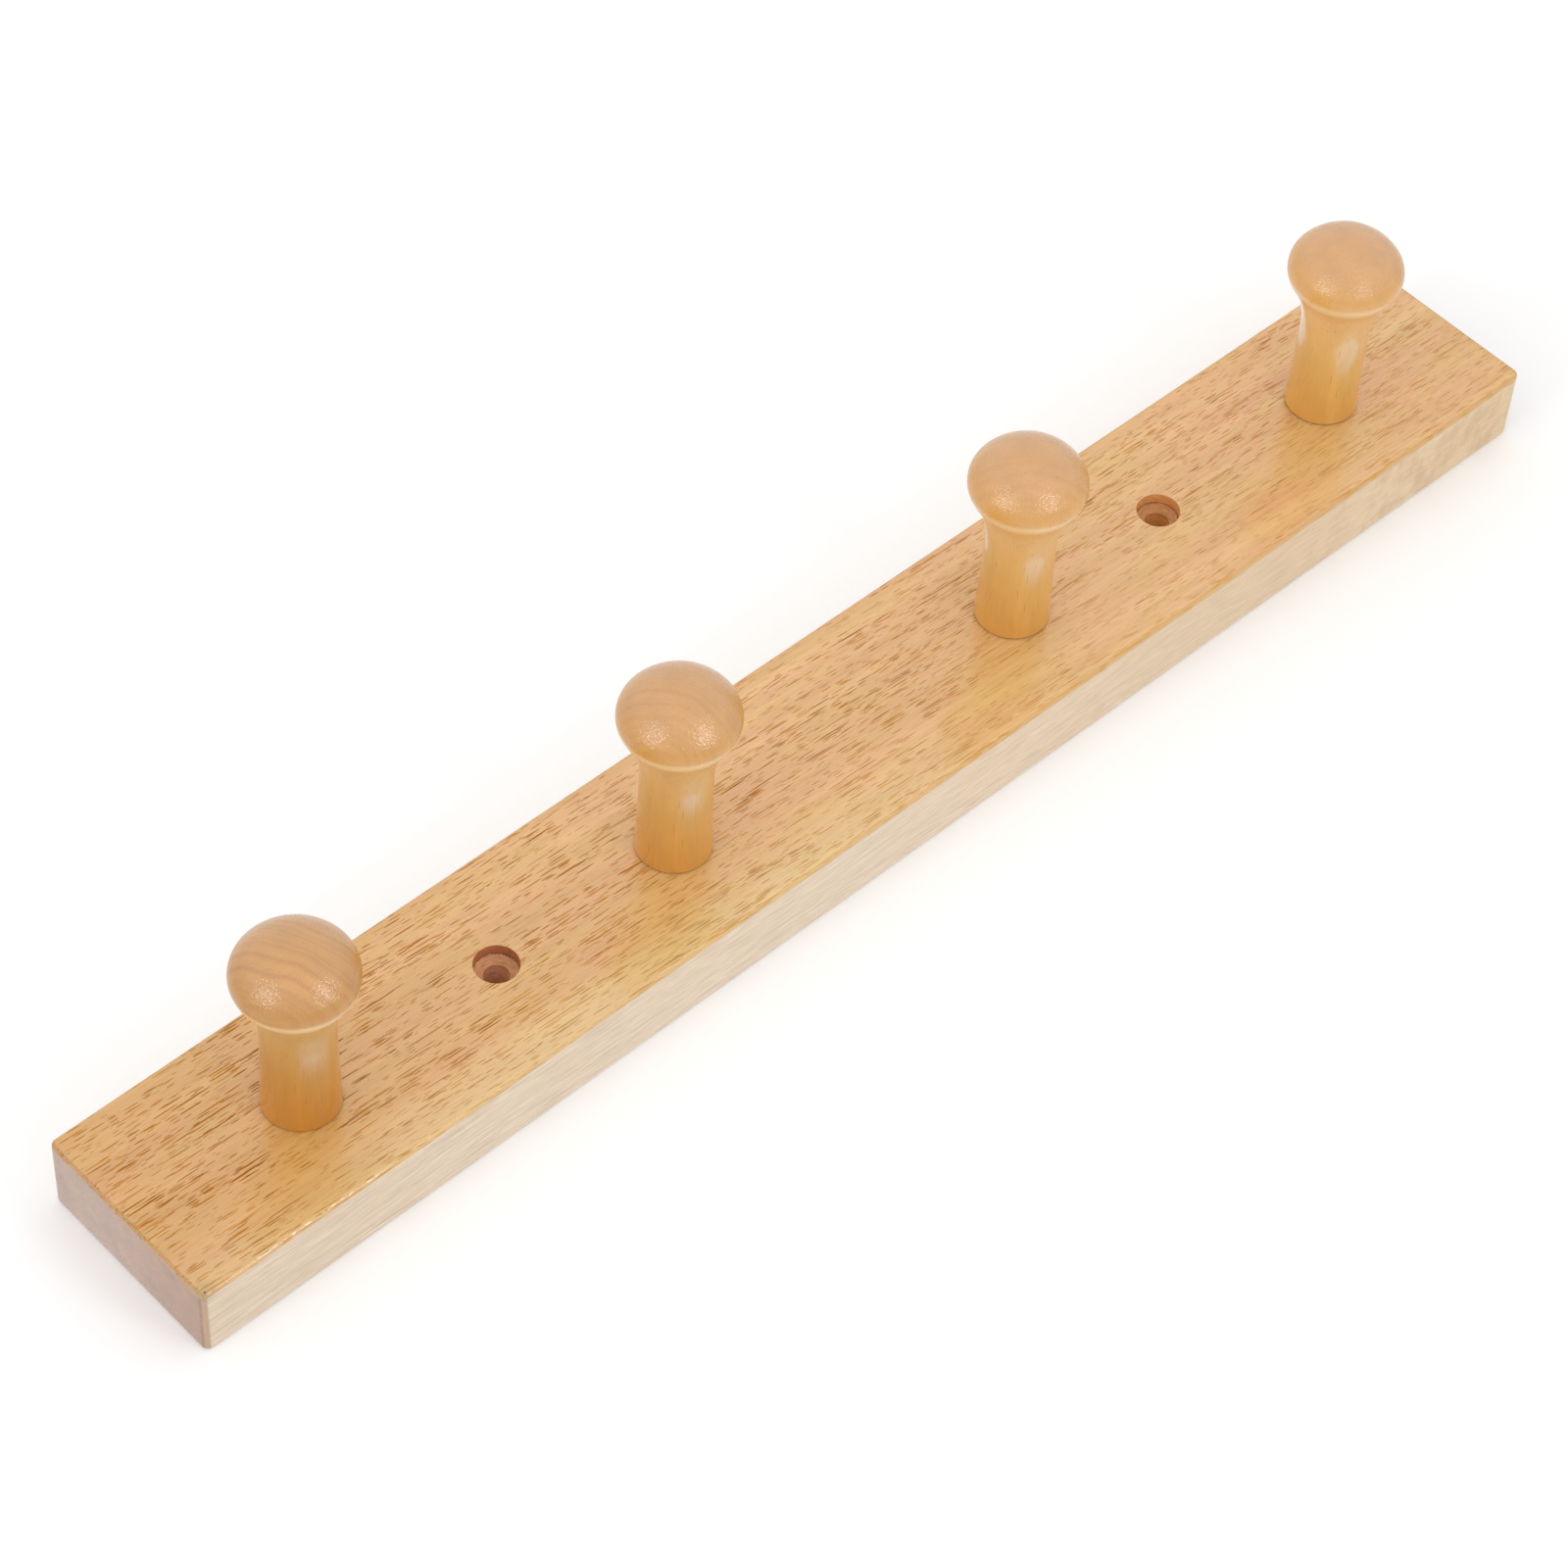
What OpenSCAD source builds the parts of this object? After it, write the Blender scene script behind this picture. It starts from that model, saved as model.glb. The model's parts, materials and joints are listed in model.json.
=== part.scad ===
// Wall coat rack: one flat hardwood board with a row of turned wooden pegs.
//
// The rack lies on its back, as it does on a bench. X runs along the board,
// Y across it, and Z points out of the wall, the way the pegs stand. The
// origin is the middle of the back face, so the wall is the plane z = 0.
//
// The board has two stepped holes for the screws that hold it to the wall.
// Each peg is turned in one piece and stands with its flat foot on the
// board. A countersunk wood screw, driven from the back, draws it down.

/* [Board] */
// Length of the board
board_length = 396; // [340:1:540]
// Width of the board
board_width = 50; // [30:1:90]
// Thickness of the board
board_thickness = 20; // [12:0.5:28]
// Radius to which every arris of the board is eased
arris_radius = 1; // [0.3:0.1:3]

/* [Wall screw holes] */
// Distance between the two wall screw holes
wall_hole_spacing = 200; // [150:1:260]
// Diameter of the hole that the wall screw passes through
wall_hole_d = 5.8; // [4:0.1:8]
// Diameter of the recess that takes the wall screw's head
recess_d = 10; // [8.5:0.1:14]
// Depth of the recess at its full diameter
recess_depth = 2.8; // [1:0.1:6]
// Angle of the drill point that leaves the cone under the recess
drill_point_angle = 118; // [90:1:140]

/* [Row of pegs] */
// Number of pegs
peg_count = 4; // [2:1:5]
// From the board's left end to the middle of the first peg
left_margin = 45.5; // [25:0.5:70]
// From the middle of the last peg to the board's right end
right_margin = 43; // [25:0.5:70]

/* [Turned peg] */
// Height of a peg above the board
peg_height = 51.8; // [44:0.1:80]
// Diameter of the flat foot on the board
foot_d = 17.3; // [16.5:0.1:24]
// Smallest diameter, where the taper ends and the cove starts
neck_d = 16; // [11:0.1:17]
// Diameter of the head at its widest
head_d = 26.8; // [20:0.1:36]
// Height of the head above its widest part
dome_height = 9.8; // [8:0.1:12.5]
// Radius of the rounded rim of the head
rim_radius = 5.8; // [2:0.1:7]
// Radius of the long cove that flares from the neck to the head
cove_radius = 28; // [8:0.5:40]
// Small chamfer round the foot, which shows as a fine dark seam
foot_chamfer = 0.3; // [0.1:0.05:0.8]

/* [Peg screw] */
// Length of the screw that holds a peg
screw_length = 40; // [34:1:50]
// Diameter of the screw's plain shank
screw_shank_d = 4; // [3:0.1:5]
// Diameter of the screw at the root of its thread
screw_root_d = 2.8; // [2:0.1:2.9]
// Diameter of the screw's countersunk head
screw_head_d = 8; // [6.5:0.1:9]
// Depth of the screw's head below the back of the board
head_sink = 0.5; // [0.2:0.1:2]
// Height of the thin straight edge round the screw's head
head_land = 0.3; // [0.1:0.1:0.6]
// Length of the screw's sharp point
point_length = 4; // [2:0.5:6]
// Radial gap round the shank in the board
shank_clearance = 0.25; // [0.1:0.05:0.6]
// Radial gap round the screw's root in the peg
pilot_clearance = 0.1; // [0.05:0.05:0.3]
// Depth of the pilot hole past the screw's point
pilot_spare = 2; // [0.5:0.5:4]
// Gap between the screw's head and its countersink
seat_gap = 0.1; // [0.05:0.05:0.3]

/* [Hidden] */

// Smoothness of the turned and drilled surfaces
turned_fn = 128;
drilled_fn = 64;
arris_fn = 32;
taper_fn = 1440;
// How far a cutting tool runs past the face it leaves
run_out = 1;

lacquered_board = [0.89, 0.71, 0.49];
lacquered_peg = [0.86, 0.66, 0.38];
plated_steel = [0.72, 0.70, 0.64];

// Row of pegs, evenly spaced between the two margins
peg_pitch = (board_length - left_margin - right_margin) / (peg_count - 1);

// Wall screw holes, either side of the middle of the board
wall_hole_x = [-wall_hole_spacing / 2, wall_hole_spacing / 2];
recess_floor = board_thickness - recess_depth;
drill_cone_height = (recess_d - wall_hole_d) / 2 / tan(drill_point_angle / 2);

// Peg outline. The dome, the rim and the cove are arcs that run into each
// other without a corner, and the taper runs into the cove in the same way.
foot_r = foot_d / 2;
neck_r = neck_d / 2;
head_r = head_d / 2;
rim_z = peg_height - dome_height;
rim_centre_r = head_r - rim_radius;
dome_radius = (dome_height * dome_height - rim_radius * rim_radius
    + rim_centre_r * rim_centre_r) / (2 * (dome_height - rim_radius));
dome_centre_z = peg_height - dome_radius;
// Where the dome meets the rim
crown_share = dome_radius / (dome_radius - rim_radius);
crown_r = rim_centre_r * crown_share;
crown_z = dome_centre_z + (rim_z - dome_centre_z) * crown_share;
// Centre of the cove, level with the neck
cove_centre_r = neck_r + cove_radius;
cove_span_r = cove_centre_r - rim_centre_r;
cove_reach = cove_radius + rim_radius;
neck_z = rim_z - sqrt(cove_reach * cove_reach - cove_span_r * cove_span_r);
// Where the cove meets the rim
lip_share = rim_radius / cove_reach;
lip_r = rim_centre_r + cove_span_r * lip_share;
lip_z = rim_z + (neck_z - rim_z) * lip_share;
// Radius of the very flat hollow taper between the foot and the neck
taper_swell = foot_r - neck_r;
taper_radius = (neck_z * neck_z + taper_swell * taper_swell) / (2 * taper_swell);

// Peg screw, head down in the back of the board. Its head is a 90 degree
// cone, so the cone is as high as it is wide on each side.
head_cone_height = (screw_head_d - screw_shank_d) / 2;
shank_bore_r = screw_shank_d / 2 + shank_clearance;
pilot_bore_r = screw_root_d / 2 + pilot_clearance;
pilot_depth = head_sink + screw_length + pilot_spare - board_thickness;
countersink_r = screw_head_d / 2 + seat_gap;

// Middle of peg i, counted from the left end of the board
function peg_x(i) = left_margin + (i - 1) * peg_pitch - board_length / 2;

// Rectangle from the middle of its lower side, with its four corners rounded
module eased_rectangle(width, height, radius) {
    corner_x = width / 2 - radius;
    translate([-width / 2, radius]) square([width, height - 2 * radius]);
    translate([-corner_x, 0]) square([2 * corner_x, height]);
    for (x = [-corner_x, corner_x])
        for (y = [radius, height - radius])
            translate([x, y]) circle(r = radius, $fn = arris_fn);
}

// Planed board with every arris eased: the part that its plan, its long
// side and its end all share
module eased_board() {
    intersection() {
        linear_extrude(height = board_thickness)
            translate([0, -board_width / 2])
                eased_rectangle(board_length, board_width, arris_radius);
        translate([0, board_width / 2, 0]) rotate([90, 0, 0])
            linear_extrude(height = board_width)
                eased_rectangle(board_length, board_thickness, arris_radius);
        translate([-board_length / 2, 0, 0]) rotate([90, 0, 90])
            linear_extrude(height = board_length)
                eased_rectangle(board_width, board_thickness, arris_radius);
    }
}

// Stepped hole for a wall screw: a through hole, the cone that the drill's
// point leaves, and the straight recess for the screw's head
module wall_screw_hole() {
    translate([0, 0, -run_out])
        cylinder(h = board_thickness + 2 * run_out, d = wall_hole_d, $fn = drilled_fn);
    translate([0, 0, recess_floor - drill_cone_height])
        cylinder(h = drill_cone_height, d1 = wall_hole_d, d2 = recess_d, $fn = drilled_fn);
    translate([0, 0, recess_floor])
        cylinder(h = recess_depth + run_out, d = recess_d, $fn = drilled_fn);
}

// Clearance hole for a peg screw, countersunk from the back
module peg_screw_hole() {
    translate([0, 0, -run_out])
        cylinder(h = board_thickness + 2 * run_out, r = shank_bore_r, $fn = drilled_fn);
    translate([0, 0, -run_out])
        cylinder(h = run_out + head_sink + head_land, r = countersink_r, $fn = drilled_fn);
    translate([0, 0, head_sink + head_land])
        cylinder(h = countersink_r - shank_bore_r, r1 = countersink_r, r2 = shank_bore_r,
            $fn = drilled_fn);
}

module board() {
    color(lacquered_board)
    difference() {
        eased_board();
        for (x = wall_hole_x)
            translate([x, 0, 0]) wall_screw_hole();
        for (i = [1 : peg_count])
            translate([peg_x(i), 0, 0]) peg_screw_hole();
    }
}

// Half outline of a peg, from its foot at z = 0 to the top of its head
module peg_outline() {
    // hollow taper with the chamfered foot
    difference() {
        polygon([
            [0, 0],
            [foot_r - foot_chamfer, 0],
            [foot_r, foot_chamfer],
            [foot_r, neck_z],
            [0, neck_z]
        ]);
        translate([neck_r + taper_radius, neck_z]) circle(r = taper_radius, $fn = taper_fn);
    }
    // cove
    difference() {
        translate([0, neck_z]) square([lip_r, lip_z - neck_z]);
        translate([cove_centre_r, neck_z]) circle(r = cove_radius, $fn = turned_fn * 2);
    }
    // inside of the head, between the cove, the rim and the dome
    polygon([
        [0, lip_z],
        [lip_r, lip_z],
        [rim_centre_r, rim_z],
        [crown_r, crown_z],
        [0, crown_z]
    ]);
    // rounded rim
    intersection() {
        translate([rim_centre_r, rim_z]) circle(r = rim_radius, $fn = turned_fn);
        square([head_r, peg_height]);
    }
    // dome
    intersection() {
        translate([0, dome_centre_z]) circle(r = dome_radius, $fn = turned_fn * 2);
        translate([0, crown_z]) square([head_r, dome_height]);
    }
}

// Peg i, turned in one piece and bored in its foot for the screw
module peg(i) {
    color(lacquered_peg)
    translate([peg_x(i), 0, board_thickness])
    difference() {
        rotate_extrude($fn = turned_fn) peg_outline();
        translate([0, 0, -run_out])
            cylinder(h = pilot_depth + run_out, r = pilot_bore_r, $fn = drilled_fn);
    }
}

// Screw i, with its head sunk in the back of the board and its point in peg i
module peg_screw(i) {
    color(plated_steel)
    translate([peg_x(i), 0, head_sink])
    rotate_extrude($fn = drilled_fn)
        polygon([
            [0, 0],
            [screw_head_d / 2, 0],
            [screw_head_d / 2, head_land],
            [screw_shank_d / 2, head_land + head_cone_height],
            [screw_shank_d / 2, board_thickness - head_sink - seat_gap],
            [screw_root_d / 2, board_thickness - head_sink],
            [screw_root_d / 2, screw_length - point_length],
            [0, screw_length]
        ]);
}

board();
for (i = [1 : peg_count]) {
    peg(i);
    peg_screw(i);
}
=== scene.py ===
import json
import math

import bmesh
import bpy
from mathutils import Matrix, Quaternion, Vector


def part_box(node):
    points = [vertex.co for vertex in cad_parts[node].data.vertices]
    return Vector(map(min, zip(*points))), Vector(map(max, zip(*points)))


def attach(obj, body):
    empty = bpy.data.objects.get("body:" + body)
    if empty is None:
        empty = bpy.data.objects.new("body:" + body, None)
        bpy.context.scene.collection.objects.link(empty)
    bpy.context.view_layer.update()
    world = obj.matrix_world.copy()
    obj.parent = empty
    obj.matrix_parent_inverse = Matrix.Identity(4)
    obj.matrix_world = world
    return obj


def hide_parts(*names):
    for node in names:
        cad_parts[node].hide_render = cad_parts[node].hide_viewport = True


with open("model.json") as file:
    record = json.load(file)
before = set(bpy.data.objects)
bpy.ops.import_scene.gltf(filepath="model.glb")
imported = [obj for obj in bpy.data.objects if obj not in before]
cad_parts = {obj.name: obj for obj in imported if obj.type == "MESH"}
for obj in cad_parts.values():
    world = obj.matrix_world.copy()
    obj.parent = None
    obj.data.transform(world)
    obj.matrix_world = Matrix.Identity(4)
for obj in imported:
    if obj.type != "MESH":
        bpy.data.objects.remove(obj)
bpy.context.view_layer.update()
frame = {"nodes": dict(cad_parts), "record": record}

# Board
# One plank of rubberwood, planed flat, with every arris eased by hand.
# Two stepped holes take the wall screws, and four countersunk ones behind
# take the screws of the pegs. Clear satin lacquer covers its front.
mm = 0.001
board_low, board_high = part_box("board")
board_length, board_width, board_thickness = board_high - board_low
corner_radius = 1.7 * mm
corner_steps = 6
arris_radius = 1.0 * mm
arris_steps = 5
mounts = {mount["name"]: mount for mount in frame["record"]["mounts"]}
through_radius = mounts["left_screw_hole"]["dims"]["r_mm"] * mm
cone_foot = mounts["left_screw_hole"]["dims"]["length_mm"] * mm
recess_radius = mounts["left_head_recess"]["dims"]["r_mm"] * mm
recess_floor = board_thickness - mounts["left_head_recess"]["dims"]["length_mm"] * mm
rim_easing = 0.2 * mm
rim_bulge = 0.3 * rim_easing
peg_nodes = sorted(name for name in frame["nodes"]
                   if name.startswith("peg_") and "screw" not in name)
shank_hole_radius = 2.25 * mm
countersink_radius = 4.1 * mm
countersink_land = 0.8 * mm
past_face = 2 * mm
hole_steps = 72
merge_gap = 0.001 * mm
sharp_wood_degrees = 32


def middle(node):
    """Middle of a CAD node's box."""
    low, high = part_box(node)
    return (low + high) / 2


def rise(edge):
    """How much higher one end of an edge lies than the other."""
    return abs(edge.verts[0].co.z - edge.verts[1].co.z)


def trace(bm, points):
    """Joins points, given as radius and height, to a chain of edges."""
    chain = [bm.verts.new((radius, 0, height)) for radius, height in points]
    return chain + [bm.edges.new(pair) for pair in zip(chain, chain[1:])]


def turn(bm, outline, steps):
    """Turns an outline once about Z and closes the seam and the poles."""
    bmesh.ops.spin(bm, geom=outline, cent=(0, 0, 0), axis=(0, 0, 1), angle=math.tau, steps=steps,
                   use_merge=True)
    bmesh.ops.remove_doubles(bm, verts=bm.verts, dist=merge_gap)
    bmesh.ops.recalc_face_normals(bm, faces=bm.faces)


def to_mesh(bm, name, at=(0, 0, 0)):
    """Writes a bmesh to a new object in the scene, with its place in its mesh."""
    mesh = bpy.data.meshes.new(name)
    bm.to_mesh(mesh)
    bm.free()
    mesh.transform(Matrix.Translation(at))
    made = bpy.data.objects.new(name, mesh)
    bpy.context.scene.collection.objects.link(made)
    return made


def drill_bit(name, outline, place):
    """Turns a bit from its outline and stands it on the back of the board, at a place."""
    bm = bmesh.new()
    turn(bm, trace(bm, outline), hole_steps)
    return to_mesh(bm, name, (place[0], place[1], 0))


def combine(piece, operation, *others):
    """Cuts others out of a piece, or joins them to it, for good, and removes them."""
    for other in others:
        step = piece.modifiers.new("combine", "BOOLEAN")
        step.operation = operation
        step.solver = "EXACT"
        step.object = other
    bpy.context.view_layer.update()
    settled = piece.evaluated_get(bpy.context.evaluated_depsgraph_get())
    finished = bpy.data.meshes.new_from_object(settled)
    bm = bmesh.new()
    bm.from_mesh(finished)
    bmesh.ops.remove_doubles(bm, verts=bm.verts, dist=merge_gap)
    bmesh.ops.dissolve_degenerate(bm, edges=bm.edges, dist=merge_gap)
    bm.to_mesh(finished)
    bm.free()
    piece.modifiers.clear()
    piece.data = finished
    for other in others:
        bpy.data.objects.remove(other)


def smooth_faces(piece, sharp_degrees):
    """Shades a piece smooth, keeps its sharp edges and lets its wide faces lie flat."""
    piece.data.shade_smooth()
    piece.data.set_sharp_from_angle(angle=math.radians(sharp_degrees))
    weighted = piece.modifiers.new("flat_faces", "WEIGHTED_NORMAL")
    weighted.keep_sharp = True


bm = bmesh.new()
bmesh.ops.create_cube(bm, size=1)
bmesh.ops.scale(bm, vec=(board_length, board_width, board_thickness), verts=bm.verts)
bmesh.ops.translate(bm, vec=middle("board"), verts=bm.verts)
upright = [edge for edge in bm.edges if rise(edge) > arris_radius]
bmesh.ops.bevel(bm, geom=upright, offset=corner_radius, segments=corner_steps, profile=0.5,
                affect="EDGES", material=-1)
level = [edge for edge in bm.edges if rise(edge) < arris_radius]
bmesh.ops.bevel(bm, geom=level, offset=arris_radius, segments=arris_steps, profile=0.5,
                affect="EDGES", material=-1)
board = to_mesh(bm, "planed_board")

wall_screw_bit = [
    (0, -past_face),
    (through_radius + rim_easing, -past_face),
    (through_radius + rim_easing, 0),
    (through_radius, rim_easing),
    (through_radius, cone_foot),
    (recess_radius, recess_floor),
    (recess_radius, board_thickness - rim_easing),
    (recess_radius + rim_bulge, board_thickness - rim_bulge),
    (recess_radius + rim_easing, board_thickness),
    (recess_radius + rim_easing, board_thickness + past_face),
    (0, board_thickness + past_face)]
peg_screw_bit = [
    (0, -past_face),
    (countersink_radius, -past_face),
    (countersink_radius, countersink_land),
    (shank_hole_radius, countersink_land + countersink_radius - shank_hole_radius),
    (shank_hole_radius, board_thickness + past_face),
    (0, board_thickness + past_face)]
bits = [drill_bit("wall_screw_bit", wall_screw_bit, mounts[name]["pos_m"])
        for name in ("left_screw_hole", "right_screw_hole")]
bits += [drill_bit("peg_screw_bit", peg_screw_bit, middle(node)) for node in peg_nodes]
combine(board, "DIFFERENCE", *bits)
smooth_faces(board, sharp_wood_degrees)

# Rubberwood is flat sawn here: blotches of straw and salmon run along the
# board, and its open vessels show as short red-brown dashes on the face and
# as specks on the ends. The long sides are plainer, creamy sapwood, painted
# paler still as a reflection of the white floor, and the ends are painted
# darker, as shade. The satin lacquer's index is higher than real, for the
# pale sheen of white surroundings.
mm_per_metre = 1000
grain_slant = 2.0
grain_dip = -1.2
wander_reach = 0.6
# three sizes of vessel, as long and wide in mm as they show in the photograph, which is wider
# than their real 0.2 mm: length, width, share, strength, and what is left of it at the right
vessels = [(24, 0.56, 0.31, 0.95, 0.44), (10, 0.44, 0.38, 0.95, 0.62), (4.5, 0.38, 0.4, 0.86, 0.72)]
cream = "#e2c587"
end_arris_brown = "#8a5c36"
corner_highlight_cream = "#dfc49c"
vessel_brown, vessel_gold = "#864602", "#c07814"
lacquer_gold = "#cf983a"
drip_brown = "#a67a42"
glint_white = "#f8e6c4"
bare_grey = "#cdb08a"


def linear(text):
    """Turns an sRGB hex colour to the linear one that a shader takes."""
    channels = [int(text[at:at + 2], 16) / 255 for at in (1, 3, 5)]
    return [c / 12.92 if c <= 0.04045 else ((c + 0.055) / 1.055) ** 2.4 for c in channels] + [1.0]


def add(tree, kind, inputs=(), stops=(), **settings):
    """Adds a node. An input takes a value, a socket, or a node, which gives its first live
    output. The stops of a ramp are its first, its last and then those between them."""
    made = tree.nodes.new(kind)
    for name, value in settings.items():
        setattr(made, name, value)
    for socket, value in dict(inputs).items():
        if isinstance(value, bpy.types.Node):
            value = next(output for output in value.outputs if output.enabled)
        if isinstance(value, bpy.types.NodeSocket):
            tree.links.new(value, made.inputs[socket])
        else:
            made.inputs[socket].default_value = linear(value) if isinstance(value, str) else value
    for at, (position, colour) in enumerate(stops):
        elements = made.color_ramp.elements
        element = elements[at] if at < 2 else elements.new(position)
        element.position = position
        element.color = linear(colour)
    return made


def new_material(name):
    """A material with a bare tree."""
    material = bpy.data.materials.new(name)
    material.use_nodes = True
    material.node_tree.nodes.clear()
    return material, material.node_tree


def waver(tree, in_mm, size, reach):
    """Sways a point in millimetres by a slow noise, so that no line of grain runs straight."""
    at = add(tree, "ShaderNodeVectorMath", {0: in_mm, 1: [1 / side for side in size]},
             operation="MULTIPLY")
    noise = add(tree, "ShaderNodeTexNoise", {"Vector": at, "Scale": 1, "Detail": 2})
    sway = add(tree, "ShaderNodeVectorMath", {0: noise.outputs["Color"], 1: (0.5, 0.5, 0.5)},
               operation="SUBTRACT")
    return add(tree, "ShaderNodeVectorMath", {
        0: sway, 1: [2 * side for side in reach], 2: in_mm}, operation="MULTIPLY_ADD")


def grain_noise(tree, grain, layers):
    """Noise stretched along the grain, by name, each with a size in millimetres and a detail."""
    made = {}
    for name, (size, detail) in layers.items():
        at = add(tree, "ShaderNodeVectorMath", {0: grain, 1: [1 / side for side in size]},
                 operation="MULTIPLY")
        made[name] = add(tree, "ShaderNodeTexNoise", {
            "Vector": at, "Scale": 1, "Detail": detail, "Roughness": 0.6})
    return made


def vessel_cells(tree, grain, size, share, crowding):
    """Thin vessels, one to a cell of a size: how far inside one a point is, and its chances."""
    least, spread, soft_rim = 0.3 * share, 0.8 * share, 0.86
    at = add(tree, "ShaderNodeVectorMath", {0: grain, 1: [1 / side for side in size]},
             operation="MULTIPLY")
    cells = add(tree, "ShaderNodeTexVoronoi", {"Vector": at, "Scale": 1}, feature="F1")
    chance = add(tree, "ShaderNodeSeparateColor", {"Color": cells.outputs["Color"]})
    reach = add(tree, "ShaderNodeMath", {0: chance, 1: spread, 2: least}, operation="MULTIPLY_ADD")
    reach = add(tree, "ShaderNodeMath", {0: reach, 1: crowding}, operation="MULTIPLY")
    core = add(tree, "ShaderNodeMath", {0: reach, 1: soft_rim}, operation="MULTIPLY")
    inside = add(tree, "ShaderNodeMapRange", {"Value": cells, "From Min": reach, "From Max": core},
                 interpolation_type="SMOOTHSTEP")
    return inside, chance


board_wood, tree = new_material("rubberwood_under_satin_lacquer")
place = add(tree, "ShaderNodeTexCoord")
in_mm = add(tree, "ShaderNodeMapping", {
    "Vector": place.outputs["Object"], "Scale": [mm_per_metre] * 3,
    "Rotation": (0, math.radians(grain_dip), math.radians(grain_slant))})
grain = waver(tree, in_mm, (70, 18, 18), (0, wander_reach, wander_reach))
# sizes along, across and up through the board; fibres and lines are drawn coarser than
# real, so that they show
noise = grain_noise(tree, grain, {
    "bands": ((110, 4.5, 7), 3),
    "blotches": ((38, 8, 10), 3),
    "crowds": ((42, 6, 6), 2),
    "lines": ((60, 0.7, 0.7), 2),
    "flames": ((5, 30, 8), 3),
    "fibres": ((12, 0.42, 0.42), 3),
    "specks": ((0.9, 0.3, 0.3), 2)})

# where on the board a point is: only the walls of the holes lie inside all three insets
hole_insets = (2 * mm, 2 * mm, 0.15 * mm)
half_box = (board_high - board_low) / 2
offset = add(tree, "ShaderNodeVectorMath", {0: place.outputs["Object"], 1: middle("board")},
             operation="SUBTRACT")
offset = add(tree, "ShaderNodeVectorMath", {0: offset}, operation="ABSOLUTE")
offset = add(tree, "ShaderNodeSeparateXYZ", {0: offset})
in_hole = 1.0
for axis, inset in enumerate(hole_insets):
    within = add(tree, "ShaderNodeMath", {0: offset.outputs[axis], 1: half_box[axis] - inset},
                 operation="LESS_THAN")
    in_hole = add(tree, "ShaderNodeMath", {0: within, 1: in_hole}, operation="MULTIPLY")
along, across, height = add(tree, "ShaderNodeSeparateXYZ", {0: place.outputs["Object"]}).outputs
to_right = add(tree, "ShaderNodeMapRange", {
    "Value": along, "From Min": board_low.x, "From Max": board_high.x})

# which way its surface looks, and how near it is to an arris
outward = add(tree, "ShaderNodeSeparateXYZ", {0: place.outputs["Normal"]})
on_back = add(tree, "ShaderNodeMath", {0: outward.outputs[2], 1: -0.8}, operation="LESS_THAN")
looks = add(tree, "ShaderNodeVectorMath", {0: place.outputs["Normal"]}, operation="ABSOLUTE")
looks_end, looks_side, looks_up = add(tree, "ShaderNodeSeparateXYZ", {0: looks}).outputs
steepest = add(tree, "ShaderNodeMath", {0: looks_end, 1: looks_side}, operation="MAXIMUM")
steepest = add(tree, "ShaderNodeMath", {0: steepest, 1: looks_up}, operation="MAXIMUM")
on_arris = add(tree, "ShaderNodeMapRange", {
    "Value": steepest, "From Min": 0.95, "From Max": 0.8}, interpolation_type="SMOOTHSTEP")
off_top = add(tree, "ShaderNodeMapRange", {
    "Value": looks_up, "From Min": 0.97, "From Max": 0.75}, interpolation_type="SMOOTHSTEP")

# the face's lacquer runs over the arris and ends in a wavy drip line, lower to the right
drip_wave, drip_drop = 1.2 * mm, 0.5 * mm
drip = add(tree, "ShaderNodeMath", {0: noise["bands"], 1: drip_wave, 2: height},
           operation="MULTIPLY_ADD")
drip = add(tree, "ShaderNodeMath", {0: to_right, 1: drip_drop, 2: drip}, operation="MULTIPLY_ADD")
below_drip = add(tree, "ShaderNodeMapRange", {
    "Value": drip, "From Min": board_thickness - 0.3 * mm,
    "From Max": board_thickness - 0.9 * mm}, interpolation_type="SMOOTHSTEP")
on_end, on_side = [
    add(tree, "ShaderNodeMath", {0: below_drip, 1: add(tree, "ShaderNodeMapRange", {
        "Value": looking, "From Min": 0.3, "From Max": 0.6})}, operation="MULTIPLY")
    for looking in (looks_end, looks_side)]

# the face is straw and salmon, deeper at the left, and creamy along the left half of its front
straw = add(tree, "ShaderNodeValToRGB", {"Fac": noise["bands"]}, stops=[
    (0.3, "#d9a564"), (0.7, "#e6b976"), (0.5, "#deae69")])
salmon = add(tree, "ShaderNodeValToRGB", {"Fac": noise["bands"]}, stops=[
    (0.3, "#dca46b"), (0.7, "#ebb67d"), (0.5, "#e3ad73")])
pinkness = add(tree, "ShaderNodeMapRange", {
    "Value": noise["blotches"], "From Min": 0.36, "From Max": 0.64},
    interpolation_type="SMOOTHSTEP")
face_colour = add(tree, "ShaderNodeMix", {0: pinkness, 6: straw, 7: salmon}, data_type="RGBA")
deeper = add(tree, "ShaderNodeMapRange", {"Value": to_right, "From Min": 0.35, "From Max": 0.0})
face_colour = add(tree, "ShaderNodeMix", {0: deeper, 6: face_colour, 7: "#f1e8ce"},
                  data_type="RGBA", blend_type="MULTIPLY")
creamy = add(tree, "ShaderNodeMapRange", {
    "Value": across, "From Min": -12 * mm, "From Max": -22 * mm, "To Max": 0.62},
    interpolation_type="SMOOTHSTEP")
for start, full, least in ((0.62, 0.42, 0.0), (0.02, 0.25, 0.55)):
    creamy = add(tree, "ShaderNodeMath", {0: creamy, 1: add(tree, "ShaderNodeMapRange", {
        "Value": to_right, "From Min": start, "From Max": full, "To Min": least})},
        operation="MULTIPLY")
face_colour = add(tree, "ShaderNodeMix", {0: creamy, 6: face_colour, 7: cream}, data_type="RGBA")
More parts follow.
